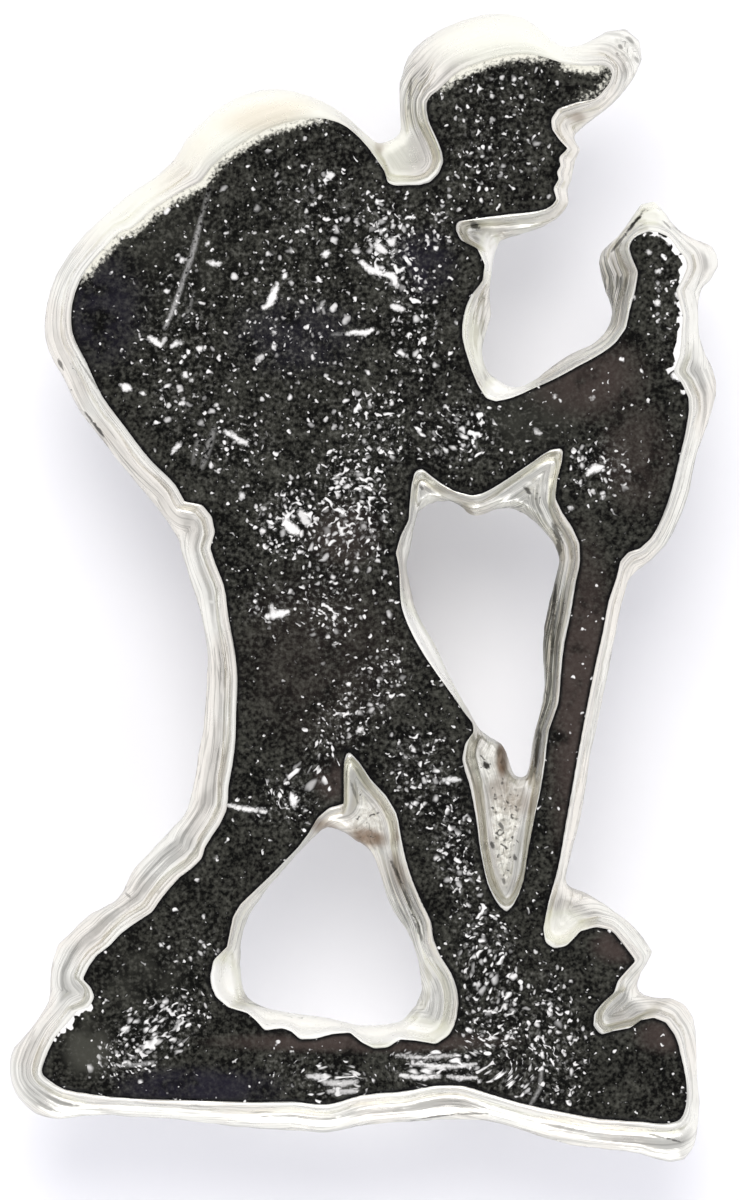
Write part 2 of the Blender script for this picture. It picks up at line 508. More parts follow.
def apply_modifier(piece, kind, name, **values):
    """Adds a modifier with these values to a piece and applies it."""
    select_only(piece)
    modifier = piece.modifiers.new(name, kind)
    for key, value in values.items():
        setattr(modifier, key, value)
    bpy.ops.object.modifier_apply(modifier=modifier.name)


def copied_node(node_name, name):
    """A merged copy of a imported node, in millimetres."""
    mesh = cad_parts[node_name].data.copy()
    piece = bpy.data.objects.new(name, mesh)
    mesh.name = name
    mesh.materials.clear()
    bpy.context.scene.collection.objects.link(piece)
    select_only(piece)
    piece.scale = (MM, MM, MM)
    bpy.ops.object.transform_apply(location=False, rotation=False, scale=True)
    if "custom_normal" in mesh.attributes:
        mesh.attributes.remove(mesh.attributes["custom_normal"])
    bpy.ops.object.mode_set(mode="EDIT")
    bpy.ops.mesh.select_all(action="SELECT")
    bpy.ops.mesh.remove_doubles(threshold=MERGE_MM)
    bpy.ops.mesh.mark_sharp(clear=True)
    bpy.ops.object.mode_set(mode="OBJECT")
    return piece


def to_real_size(piece):
    """Brings a piece that was shaped in millimetres to its own size."""
    select_only(piece)
    piece.scale = (1 / MM, 1 / MM, 1 / MM)
    bpy.ops.object.transform_apply(location=False, rotation=False, scale=True)


def finish_piece(piece, node_name, material):
    """Gives a finished piece its material, and its place in the frame instead of a node."""
    piece.data.materials.append(material)
    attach(piece, "root")
    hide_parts(node_name)


def vertex_places(piece):
    """The places of a piece's vertices, a row each."""
    places = np.empty(len(piece.data.vertices) * 3)
    piece.data.vertices.foreach_get("co", places)
    return places.reshape(-1, 3)


def vertex_normals(piece):
    """The normals of a piece's vertices, a row each."""
    normals = np.empty(len(piece.data.vertices) * 3, dtype=np.float32)
    piece.data.vertex_normals.foreach_get("vector", normals)
    return normals.reshape(-1, 3)


def smooth_step(values, start, end):
    """0 before start, 1 after end and smooth between them."""
    share = np.clip((values - start) / (end - start), 0, 1)
    return share * share * (3 - 2 * share)


def weigh(piece, name, weights):
    """Makes a vertex group from a weight for each vertex, rounded to a few dozen steps."""
    group = piece.vertex_groups.new(name=name)
    levels = np.rint(np.clip(weights, 0, 1) * WEIGHT_STEPS).astype(int)
    for level in range(1, WEIGHT_STEPS + 1):
        group.add(np.flatnonzero(levels == level).tolist(), level / WEIGHT_STEPS, "REPLACE")


def store(piece, name, values):
    """Keeps a number or a vector for each vertex as an attribute that materials can read."""
    if values.ndim == 1:
        attribute = piece.data.attributes.new(name, "FLOAT", "POINT")
        attribute.data.foreach_set("value", values.astype(np.float32))
    else:
        attribute = piece.data.attributes.new(name, "FLOAT_VECTOR", "POINT")
        attribute.data.foreach_set("vector", values.astype(np.float32).ravel())


def displace(piece, name, height_mm, size_mm, group, depth=2, **values):
    """Pushes a piece in and out by a texture with lumps of this size, where a vertex group says so."""
    texture = bpy.data.textures.new(name, "CLOUDS")
    texture.noise_scale = size_mm
    texture.noise_depth = depth
    texture.contrast = 1.6
    apply_modifier(
        piece, "DISPLACE", name, texture=texture, strength=height_mm, mid_level=0.5, vertex_group=group,
        **values)


def press(piece, group, depth_mm):
    """Presses a piece down by this much where the vertex group of the same name says so."""
    apply_modifier(
        piece, "DISPLACE", group, strength=-depth_mm, mid_level=0.0, vertex_group=group, direction="Z")


class Outline:
    """The edge of the lacquered face: closed loops of points, in millimetres."""

    STEP_MM = 0.04
    # A face counts as part of the front when its normal points up by more than this
    UPWARD = 0.5

    def __init__(self):
        self.loops = [self.resampled(loop) for loop in self.read_loops()]
        self.lengths = [len(loop) * self.STEP_MM for loop in self.loops]
        self.tree = kdtree.KDTree(sum(len(loop) for loop in self.loops))
        self.place = []
        for k, loop in enumerate(self.loops):
            for i, (x, y) in enumerate(loop):
                self.tree.insert((x, y, 0), len(self.place))
                self.place.append((k, i * self.STEP_MM))
        self.tree.balance()

    def is_rim(self, edge):
        """Whether an edge of the lacquer's node lies between its front and its sides."""
        upward = sum(face.normal.z > self.UPWARD for face in edge.link_faces)
        high = edge.verts[0].co.z * MM > LACQUER_TOP_MM - MERGE_MM
        return len(edge.link_faces) == 2 and upward == 1 and high

    def read_loops(self):
        """Walks along the upper rim of the lacquer's node."""
        mesh = bmesh.new()
        mesh.from_mesh(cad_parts["black_face"].data)
        bmesh.ops.remove_doubles(mesh, verts=mesh.verts, dist=MERGE_MM / MM)
        rim = {edge for edge in mesh.edges if self.is_rim(edge)}
        loops = []
        while rim:
            edge = rim.pop()
            start, vertex = edge.verts
            loop = [start.co.xy * MM]
            while vertex is not start:
                loop.append(vertex.co.xy * MM)
                edge = next(e for e in vertex.link_edges if e in rim)
                rim.remove(edge)
                vertex = edge.other_vert(vertex)
            loops.append(self.from_left(np.array(loop)))
        mesh.free()
        return sorted(loops, key=lambda loop: tuple(loop[0]))

    @staticmethod
    def from_left(loop):
        """The loop again, anticlockwise from its leftmost point, so that every run has the same start."""
        following = np.roll(loop, -1, axis=0)
        if (loop[:, 0] * following[:, 1] - loop[:, 1] * following[:, 0]).sum() < 0:
            loop = loop[::-1]
        leftmost = min(range(len(loop)), key=lambda i: tuple(loop[i].round(4)))
        return np.roll(loop, -leftmost, axis=0)

    def resampled(self, loop):
        """The loop again, with a point every step along it."""
        closed = np.vstack([loop, loop[:1]])
        along = np.concatenate([[0], np.cumsum(np.linalg.norm(np.diff(closed, axis=0), axis=1))])
        steps = np.linspace(0, along[-1], round(along[-1] / self.STEP_MM), endpoint=False)
        return np.column_stack([np.interp(steps, along, closed[:, k]) for k in (0, 1)])

    def nearest(self, places):
        """For each place: its distance from the outline, the nearest loop, and the way along that loop."""
        found = np.empty((len(places), 3))
        for i, (x, y) in enumerate(places[:, :2]):
            _, index, distance = self.tree.find((x, y, 0))
            found[i] = (distance, *self.place[index])
        return found[:, 0], found[:, 1].astype(int), found[:, 2]


def soft_ellipse(places, x, y, half_width, half_height, turn):
    """1 in the middle of an ellipse on the sheet and 0 outside it."""
    across, up = on_badge_mm(x, y)
    angle = math.radians(turn)
    dx, dy = places[:, 0] - across, places[:, 1] - up
    u = (dx * math.cos(angle) + dy * math.sin(angle)) / half_width
    v = (dy * math.cos(angle) - dx * math.sin(angle)) / half_height
    return 1 - smooth_step(np.sqrt(u * u + v * v), *SPOT_FADE)


def field_strength(places, spots):
    """How strong the strongest of some spots is at each place."""
    strength = np.zeros(len(places))
    for _, x, y, half_width, half_height, turn, amount in spots:
        spot = amount * soft_ellipse(places, x, y, half_width, half_height, turn)
        strength = np.maximum(strength, spot)
    return strength


def line_corners(points):
    """The corners of a line that is drawn on the sheet, as places on the badge."""
    return np.array([on_badge_mm(*point) for point in points])


def mark_field(places, marks):
    """How many millimetres each place is outside the nearest of some marks, and how bright that one is."""
    nearest = np.full(len(places), MARK_AWAY_MM)
    brightness = np.zeros(len(places))
    for _, points, half_width, light in marks:
        corners = line_corners(points)
        close = np.abs(places[:, :2] - corners.mean(axis=0)).max(axis=1) < MARK_REACH_MM
        spots = places[close, :2]
        if not len(spots):
            continue
        lengths = np.linalg.norm(np.diff(corners, axis=0), axis=1)
        before = np.concatenate([[0], np.cumsum(lengths)])
        outside = np.full(len(spots), MARK_AWAY_MM)
        for k, (start, line) in enumerate(zip(corners[:-1], np.diff(corners, axis=0))):
            share = np.clip((spots - start) @ line / (line @ line), 0, 1)
            along = (before[k] + share * lengths[k]) / before[-1]
            taper = 1 - MARK_TAPER * (2 * along - 1) ** 2
            away = np.linalg.norm(spots - start - share[:, None] * line, axis=1) - half_width * taper
            outside = np.minimum(outside, away)
        nearer = outside < nearest[close]
        rows = np.flatnonzero(close)[nearer]
        nearest[rows] = outside[nearer]
        brightness[rows] = light
    return nearest, brightness


def crease_frame(places, creases):
    """For each place: how far across and along the nearest crease it is, 1 being the edge, and its shade."""
    nearest = np.full(len(places), FAR)
    found = np.tile((FAR, 0.0, 0.0), (len(places), 1))
    for _, points, half_width, shade in creases:
        corners = line_corners(points)
        for start, end in zip(corners[:-1], corners[1:]):
            half_length = np.linalg.norm(end - start) / 2 + half_width
            way = (end - start) / np.linalg.norm(end - start)
            reach = places[:, :2] - (start + end) / 2
            across = (reach[:, 1] * way[0] - reach[:, 0] * way[1]) / half_width
            along = reach @ way / half_length
            away = np.hypot(across, along)
            nearer = away < nearest
            nearest[nearer] = away[nearer]
            found[nearer] = np.column_stack([across, along, np.full(len(places), shade)])[nearer]
    return found


def drawn_out(places):
    """The places again, squeezed together where flecks are to look drawn out in a direction."""
    moved = places.copy()
    for _, x, y, half_width, half_height, turn, times in DRAWN_OUT:
        share = soft_ellipse(places, x, y, half_width, half_height, 0) * (1 - 1 / times)
        way = np.array([math.cos(math.radians(turn)), math.sin(math.radians(turn))])
        along = (places[:, :2] - on_badge_mm(x, y)) @ way
        moved[:, :2] -= (share * along)[:, None] * way
    return moved


class Value:
    """The output of a node. Arithmetic with it adds the nodes that work it out; | is the larger of two."""

    def __init__(self, builder, socket):
        self.builder = builder
        self.socket = socket

    def __add__(self, other):
        return self.builder.math("ADD", self, other)

    def __sub__(self, other):
        return self.builder.math("SUBTRACT", self, other)

    def __rsub__(self, other):
        return self.builder.math("SUBTRACT", other, self)

    def __mul__(self, other):
        return self.builder.math("MULTIPLY", self, other)

    def __truediv__(self, other):
        return self.builder.math("DIVIDE", self, other)

    def __rtruediv__(self, other):
        return self.builder.math("DIVIDE", other, self)

    def __lt__(self, other):
        return self.builder.math("LESS_THAN", self, other)

    def __or__(self, other):
        return self.builder.math("MAXIMUM", self, other)

    def __abs__(self):
        return self.builder.math("ABSOLUTE", self)

    def scaled(self, factor, offset, clamp=False):
        """The value times a factor, plus an offset."""
        return self.builder.math("MULTIPLY_ADD", self, factor, offset, clamp=clamp)

    def ramp(self, low, high, kind="SMOOTHSTEP"):
        """0 below low, 1 above high and a slope between them."""
        inputs = {"Value": self, "From Min": low, "From Max": high}
        return self.builder.value("ShaderNodeMapRange", 0, inputs, interpolation_type=kind)

    def line(self, middle, thin, thick):
        """1 within the thin distance of the middle, 0 beyond the thick one: a line in a cloudy texture."""
        return 1.0 - abs(self - middle).ramp(thin, thick)


class NodeBuilder:
    """Adds and links nodes in a node tree, from left to right."""

    COLUMN = 90
    ROW = 140
    ROWS = 5

    def __init__(self, tree):
        self.tree = tree

    def add(self, kind, inputs=None, **settings):
        """A node with these settings, and with each input a number, a colour or a value."""
        node = self.tree.nodes.new(kind)
        count = len(self.tree.nodes)
        node.location = (self.COLUMN * count, -self.ROW * (count % self.ROWS))
        for key, setting in settings.items():
            setattr(node, key, setting)
        for key, source in (inputs or {}).items():
            self.plug(node, key, source)
        return node

    def plug(self, node, key, source):
        """Links a value to an input of a node, or sets the input to a constant."""
        if isinstance(source, Value):
            self.tree.links.new(source.socket, node.inputs[key])
        else:
            node.inputs[key].default_value = source

    def values(self, kind, outputs, inputs=None, **settings):
        """Some outputs of a new node."""
        node = self.add(kind, inputs, **settings)
        return [Value(self, node.outputs[key]) for key in outputs]

    def value(self, kind, output, inputs=None, **settings):
        """One output of a new node."""
        return self.values(kind, (output,), inputs, **settings)[0]

    def math(self, operation, *numbers, clamp=False):
        """One arithmetic step on numbers."""
        inputs = dict(enumerate(numbers))
        return self.value("ShaderNodeMath", 0, inputs, operation=operation, use_clamp=clamp)

    def vector(self, operation, inputs, output="Vector"):
        """One arithmetic step on vectors."""
        return self.value("ShaderNodeVectorMath", output, inputs, operation=operation)

    def parts(self, vector):
        """The three parts of a vector."""
        return self.values("ShaderNodeSeparateXYZ", (0, 1, 2), {0: vector})

    def flat_length(self, vector):
        """The length of a vector in the plane of its first two parts."""
        return self.vector("LENGTH", {0: self.vector("MULTIPLY", {0: vector, 1: (1, 1, 0)})}, "Value")

    def read(self, name, output="Fac"):
        """An attribute of the piece."""
        return self.value("ShaderNodeAttribute", output, attribute_name=name)

    def mix(self, share, first, second):
        """Two colours mixed by a share."""
        first, second = (c if isinstance(c, Value) else (*c, 1.0) for c in (first, second))
        return self.value("ShaderNodeMix", 2, {0: share, 6: first, 7: second}, data_type="RGBA")

    def bump(self, relief, strength=1.0, distance=1 / MM):
        """Normals that follow a relief, whose height counts in units of the distance."""
        inputs = {"Strength": strength, "Distance": distance, "Height": relief}
        return self.value("ShaderNodeBump", 0, inputs)


def start_group(name, inputs, outputs):
    """A node group with a vector and some numbers going in: its builder, its inputs and its output node."""
    tree = bpy.data.node_groups.new(name, "ShaderNodeTree")
    tree.interface.new_socket("Vector", in_out="INPUT", socket_type="NodeSocketVector")
    for socket_name, default in inputs.items():
        socket = tree.interface.new_socket(socket_name, in_out="INPUT", socket_type="NodeSocketFloat")
        socket.default_value = default
    for socket_name in outputs:
        tree.interface.new_socket(socket_name, in_out="OUTPUT", socket_type="NodeSocketFloat")
    builder = NodeBuilder(tree)
    return builder, builder.values("NodeGroupInput", ("Vector", *inputs)), builder.add("NodeGroupOutput")


def shared_group(name, make):
    """A node group that is built once and then shared."""
    return bpy.data.node_groups.get(name) or make(name)


def make_grain(name):
    """Cloudy grain of a named fineness per millimetre, from 0 to 1."""
    builder, inputs, end = start_group(name, {"Fineness": 5.0, "Detail": 2.0}, ("Height",))
    vector, fineness, detail = inputs
    in_mm = builder.vector("SCALE", {0: vector, "Scale": MM})
    noise = builder.value(
        "ShaderNodeTexNoise", 0, {"Vector": in_mm, "Scale": fineness, "Detail": detail, "Roughness": 0.55})
    builder.plug(end, 0, noise.ramp(0.25, 0.75, "LINEAR"))
    return builder.tree


def make_flecks(name):
    """Irregular flecks of a named size in the plane of the face, more of them as the density goes up."""
    builder, inputs, end = start_group(name, {"Size": 0.3, "Density": 0.5}, ("Mask", "Near"))
    vector, size, density = inputs
    cells = builder.vector("SCALE", {0: vector, "Scale": MM / size})
    wobble, wobble_colour = builder.values(
        "ShaderNodeTexNoise", (0, "Color"), {"Vector": cells, "Scale": 1.1, "Detail": 1.0},
        noise_dimensions="2D")
    push = builder.vector("SUBTRACT", {0: wobble_colour, 1: (MIDDLE, MIDDLE, MIDDLE)})
    bent = builder.vector("MULTIPLY_ADD", {0: push, 1: (0.7, 0.7, 0), 2: cells})

    # Round dots, of which the density says how many of the cells have one
    distance, cell_colour = builder.values(
        "ShaderNodeTexVoronoi", ("Distance", "Color"), {"Vector": bent, "Scale": 1.0},
        voronoi_dimensions="2D")
    chance, width, brightness = builder.parts(cell_colour)
    there = chance < density * 0.5
    reach = distance / width.scaled(0.2, 0.15)
    light = brightness.scaled(0.8, 0.2)
    dot = (1.0 - reach.ramp(0.2, 1.25)) * there * light

    # Thin curling lines, of which the density says how much is left
    curl = builder.value(
        "ShaderNodeTexNoise", 0, {"Vector": bent, "Scale": 0.6, "Detail": 0.0}, noise_dimensions="2D")
    thin = curl.line(MIDDLE, 0.02, 0.1)
    over = wobble - (0.725 - density * 0.2)
    worm = thin * over.ramp(0.0, 0.08)

    builder.plug(end, 0, dot | worm)
    around_dot = (1.0 - reach.ramp(1.0, 2.0)) * there
    builder.plug(end, 1, around_dot | over.ramp(-0.06, 0.02))
    return builder.tree


def grain(builder, vector, fineness, detail=2.0):
    """The grain group placed with its values."""
    inputs = {"Vector": vector, "Fineness": fineness, "Detail": detail}
    return builder.value("ShaderNodeGroup", 0, inputs, node_tree=shared_group("Cloudy Grain", make_grain))


def flecks(builder, vector, size_mm, density):
    """The fleck group placed with its values: where the flecks are, and what is near to them."""
    inputs = {"Vector": vector, "Size": size_mm, "Density": density}
    group = shared_group("Bright Flecks", make_flecks)
    return builder.values("ShaderNodeGroup", ("Mask", "Near"), inputs, node_tree=group)


def new_material(name):
    """An empty material with a Principled shader, its builder, and the places on the piece."""
    material = bpy.data.materials.new(name)
    material.use_nodes = True
    material.node_tree.nodes.clear()
    builder = NodeBuilder(material.node_tree)
    shader = builder.add("ShaderNodeBsdfPrincipled")
    output = builder.add("ShaderNodeOutputMaterial")
    builder.plug(output, 0, Value(builder, shader.outputs[0]))
    return material, builder, shader, builder.value("ShaderNodeTexCoord", "Object")


def feed(builder, shader, **inputs):
    """Gives the shader its inputs; an underscore in a name stands for a space."""
    for key, source in inputs.items():
        builder.plug(shader, key.replace("_", " "), source)


def silver_material(settings):
    """Bright cast plating with streaks along the walls, pits, grey creases and brown tarnish."""
    material, builder, shader, place = new_material("cast silver")
    way = builder.read("wall_way", "Vector")
    low, streaked, steep = builder.read("low_web"), builder.read("streaked"), builder.read("steep")
    smooth = builder.read("smooth")
    down = builder.parts(way)[2] * MM
    height = builder.parts(place)[2] * MM

    streaks = grain(builder, way, fineness=2.2, detail=3.0)
    fine_streaks = grain(builder, way, fineness=5.0, detail=1.0)
    casting = grain(builder, place, fineness=1.9, detail=3.0)
    sand = grain(builder, place, fineness=9.0)

    # Thin dark lines lie where the streaks turn over, and just below the rim of the face
    line = streaks.line(MIDDLE, 0.015, 0.085)
    fine_line = fine_streaks.line(MIDDLE, 0.02, 0.14)
    rim_line = down.line(0.46, 0.02, 0.15) * fine_streaks.ramp(0.15, 0.6)
    hardest = streaked * streaked
    bands = streaks.ramp(0.58, 0.66) * hardest
    pits, _ = flecks(builder, place, size_mm=0.17, density=low * 0.7)
    pits = pits * low.ramp(0.1, 0.6)
    from_crease = builder.read("crease", "Vector")
    off = builder.flat_length(from_crease) + (sand - MIDDLE) * 0.7
    crease = (1.0 - off.ramp(0.5, 1.15)) * builder.parts(from_crease)[2]

    # The lines on the walls, the steep parts, more so low down, and the sandy and worn places are grey
    shade = line * streaked.scaled(0.75, 0.2)
    shade = shade | fine_line * (hardest * 0.7)
    shade = shade | rim_line * 0.5
    shade = shade | bands * 0.85
    shade = shade * (1.0 - smooth)
    shade = shade | steep * (0.62 - height.ramp(BACK_MM + 0.15, BACK_MM + 0.8) * 0.5)
    shade = shade | sand.ramp(0.5, 0.75) * (low * 0.3)
    shade = shade | casting.ramp(0.4, 0.9) * low.scaled(0.2, 0.08)

    warmth = grain(builder, place, fineness=0.5).ramp(0.35, 0.7) * 0.5
    colour = builder.mix(warmth, settings.silver, settings.warmth)
    colour = builder.mix(sand.ramp(0.58, 0.4) * low, colour, GLINT)
    colour = builder.mix(shade, colour, settings.shade)
    colour = builder.mix(smooth, colour, settings.cream)
    colour = builder.mix(builder.math("SUBTRACT", smooth, 1.0, clamp=True), colour, WHITE_METAL)
    colour = builder.mix(builder.read("peach"), colour, settings.peach)
    tarnish = builder.read("tarnish") * casting.scaled(0.4, 0.7, clamp=True)
    colour = builder.mix(tarnish, colour, settings.tarnish)
    colour = builder.mix(crease | pits * 0.9, colour, PIT_BLACK)

    roughness = casting.scaled(*METAL_ROUGHNESS) + tarnish * 0.3
    relief = sand.scaled(SAND_RELIEF_MM, streaks * streaked.scaled(*STREAK_RELIEF_MM))
    metallic = low.scaled(-0.8, smooth.scaled(-0.35, 1.0, clamp=True), clamp=True)
    feed(
        builder, shader, Base_Color=colour, Roughness=roughness, Metallic=metallic,
        Normal=builder.bump(relief))
    return material


def lacquer_material(settings):
    """Black lacquer with a worn, cloudy grain, bright flecks and scratches, and warm and cool tints."""
    material, builder, shader, place = new_material("black lacquer")
    fleck_way = builder.read("fleck_way", "Vector")
    thick, maroon = builder.read("flecks"), builder.read("maroon")
    clouds = grain(builder, place, fineness=1.6, detail=3.0)
    fine = grain(builder, place, fineness=10.0)
    ragged = (fine - MIDDLE) * 0.08

    def mark(distance, light):
        """The marks whose distance and brightness these attributes keep, with a ragged edge."""
        inside = 1.0 - (builder.read(distance) + ragged).ramp(-0.045, 0.045)
        light = builder.read(light)
        return inside * (fine + light).ramp(0.35, 0.95) * light

    def dotted(name, fineness, contrast, low, high, fade):
        """Dots that lie thicker as this attribute goes up, and that fade out where it is near 0."""
        amount = builder.read(name)
        dots = grain(builder, place, fineness, detail=1.0) - MIDDLE
        return dots.scaled(contrast, amount).ramp(low, high) * amount.ramp(0.02, fade)

    large, near_large = flecks(builder, fleck_way, size_mm=0.28, density=thick)
    fewest = maroon.scaled(-0.03, 0.02)
    small, near_small = flecks(builder, fleck_way, size_mm=0.18, density=thick.scaled(0.95, fewest))
    bright = large | small * 0.85
    bright = bright | mark("mark", "mark_light")
    bright = bright | mark("hem_mark", "hem_light")
    bright = bright | dotted("frayed", 5.0, 1.3, 0.55, 0.75, 0.2)
    bright = bright | fine.ramp(0.55, 0.95) * thick.scaled(0.16, 0.01)

    haze = fine.scaled(0.65, clouds * 0.35).ramp(0.32, 0.85, "LINEAR")
    haze = haze * (1.0 - (near_large | near_small) * 0.75)
    haze = haze | builder.read("grey") * clouds.ramp(0.1, 0.7)
    colour = builder.mix(haze, settings.black, settings.haze)
    colour = builder.mix(maroon * clouds.ramp(-0.1, 0.5), colour, settings.maroon)
    colour = builder.mix(builder.read("blue") * clouds.ramp(0.0, 0.6), colour, settings.blue)
    colour = builder.mix(builder.read("dark_rim"), colour, RIM_BLACK)
    colour = builder.mix(bright, colour, settings.fleck)
    colour = builder.mix(dotted("soft_edge", 13.0, 0.6, 0.36, 0.98, 0.3), colour, settings.cream)

    feed(
        builder, shader, Base_Color=colour, Roughness=fine.scaled(*LACQUER_ROUGHNESS), Metallic=bright * 0.3,
        Normal=builder.bump(fine * LACQUER_RELIEF_MM), Specular_IOR_Level=LACQUER_GLOSS)
    return material


def nickel_material(settings):
    """Plated clutch with fine turning marks round its axis."""
    material, builder, shader, place = new_material("clutch nickel")
    around = {0: builder.flat_length(place), 1: 0.0, 2: builder.parts(place)[2]}
    lathe = builder.value("ShaderNodeCombineXYZ", 0, around)
    marks = grain(builder, lathe, fineness=14.0, detail=3.0)
    worn = grain(builder, place, fineness=1.3, detail=3.0).ramp(0.35, 0.9)
    feed(
        builder, shader, Base_Color=builder.mix(worn, settings.nickel, WORN_NICKEL),
        Roughness=worn.scaled(*NICKEL_ROUGHNESS), Normal=builder.bump(marks, 0.5, 0.01 / MM), Metallic=1.0)
    return material


def floor_material(settings):
    """Plain pale card with the faintest mottling."""
    material, builder, shader, place = new_material("pale card")
    fibre = grain(builder, place, fineness=0.4, detail=3.0)
    mottled = [c * 0.985 for c in settings.floor]
    colour = builder.mix(fibre * 0.25, settings.floor, mottled)
    feed(builder, shader, Base_Color=colour, Roughness=CARD_ROUGHNESS, Specular_IOR_Level=CARD_GLOSS)
    return material


class BADGE_OT_cast_metal(bpy.types.Operator):
    """Model the cast figure with its walls, webs, openings, pad and post"""

    bl_idname = "badge.cast_metal"
    bl_label = "Cast Metal"

    # How much of the relief is taken away where the metal is smooth, and the least that a wall is streaked
    SMOOTHING = 0.9
    LEAST_STREAKED = 0.22
    # How far apart the streaks of two loops of the outline lie on their map
    LOOP_SHIFT = 10

    def execute(self, context):
        settings = context.scene.badge_metal
        outline = Outline()
        piece = copied_node("cast_body", "cast_figure")
        apply_modifier(piece, "REMESH", "skin", mode="VOXEL", voxel_size=settings.skin * MM)
        apply_modifier(piece, "SMOOTH", "soften", factor=0.5, iterations=4)
        self.chart(piece, outline)
        displace(
            piece, "streaks", settings.streak_height * MM, size_mm=0.5, group="walls", texture_coords="UV",
            uv_layer="wall_map")
        displace(piece, "lumps", settings.lump_height * MM, size_mm=0.9, group="lumps")
        displace(piece, "pits", settings.pit_height * MM, size_mm=0.16, group="webs", depth=1)
        displace(piece, "sand", height_mm=0.02, size_mm=0.25, group="back")
        triangles = 2 * len(piece.data.polygons)
        apply_modifier(piece, "DECIMATE", "thin", ratio=settings.triangles / triangles)
        piece.vertex_groups.clear()
        piece.data.uv_layers.remove(piece.data.uv_layers["wall_map"])
        self.keep_looks(piece, outline)
        select_only(piece)
        bpy.ops.object.shade_smooth()
        to_real_size(piece)
        finish_piece(piece, "cast_body", silver_material(settings))
        return {"FINISHED"}

    def chart(self, piece, outline):
        """Vertex groups for the kinds of surface, and a map that runs along the walls."""
        places = vertex_places(piece)
        normals = vertex_normals(piece)
        away, loop, along = outline.nearest(places)
        z = places[:, 2]
        above_edge = smooth_step(z, BACK_MM + 0.2, BACK_MM + 0.45)
        from_face = smooth_step(away, 0.03, 0.14)
        seen = np.where(z > METAL_TOP_MM - 0.01, 0.0, 1.0)
        lengths = np.array(outline.lengths)[loop]
        from_seam = smooth_step(np.minimum(along, lengths - along), 0.1, 0.8)
        rough = 1 - self.SMOOTHING * np.minimum(field_strength(places, SMOOTH_SPOTS), 1)
        weigh(piece, "walls", above_edge * from_face * from_seam * seen * rough)
        weigh(piece, "lumps", above_edge * from_face * seen * rough)
        webs = field_strength(places, WEB_SPOTS) * smooth_step(away, *WEB_FADE_MM)
        weigh(piece, "webs", above_edge * webs * smooth_step(normals[:, 2], 0.2, 0.7) * seen)
        from_pad = np.hypot(places[:, 0], places[:, 1]) - PAD_RADIUS_MM
        is_back = (z > BACK_MM - 0.1) & (z < BACK_MM + 0.1) & (normals[:, 2] < -0.5)
        weigh(piece, "back", np.where(is_back, smooth_step(from_pad, 0.2, 0.5), 0.0))
        down = METAL_TOP_MM - z + away
        corners = np.empty(len(piece.data.loops), dtype=np.int32)
        piece.data.loops.foreach_get("vertex_index", corners)
        wall_map = piece.data.uv_layers.new(name="wall_map")
        turns = np.column_stack([along / STREAK_STRETCH + loop * self.LOOP_SHIFT, down])[corners]
        wall_map.data.foreach_set("uv", turns.astype(np.float32).ravel())

    def keep_looks(self, piece, outline):
        """Keeps the attributes that the material reads.

        wall_way runs round the outline and down the wall. The way round is wound on a cylinder, so it closes
        on itself, and is shortened by the streaks' stretch.
        """
        places = vertex_places(piece)
        away, loop, along = outline.nearest(places)
        z = places[:, 2]
        turn = 2 * math.pi * along / np.array(outline.lengths)[loop]
        radius = np.array(outline.lengths)[loop] / (2 * math.pi * STREAK_STRETCH)
        down = FRONT_SPACING * away + SIDE_SPACING * (METAL_TOP_MM - z)
        wound = np.column_stack([radius * np.cos(turn), radius * np.sin(turn), down])
        on_back = z < BACK_MM + 0.15
        wound[on_back] = places[on_back]
        store(piece, "wall_way", wound / MM)
        up = vertex_normals(piece)[:, 2]
        low = smooth_step(away, *WEB_FADE_MM) * smooth_step(up, 0.3, 0.8) * (z > WEBS_FROM_MM)
        low *= field_strength(places, WEB_SPOTS)
        smooth = field_strength(places, SMOOTH_SPOTS)
        store(piece, "low_web", low * (1 - np.minimum(smooth, 1)))
        store(piece, "steep", 1 - smooth_step(np.abs(up), 0.1, 0.45))
        store(piece, "smooth", smooth)
        store(piece, "streaked", np.maximum(self.LEAST_STREAKED, field_strength(places, STREAKED_SPOTS)))
        store(piece, "tarnish", field_strength(places, TARNISH_SPOTS) * (z > BACK_MM))
        store(piece, "peach", field_strength(places, PEACH_SPOTS) * (z > BACK_MM + 0.5))
        creases = crease_frame(places, CREASES)
        creases[z < WEBS_FROM_MM] = (FAR, FAR, 0.0)
        store(piece, "crease", creases)


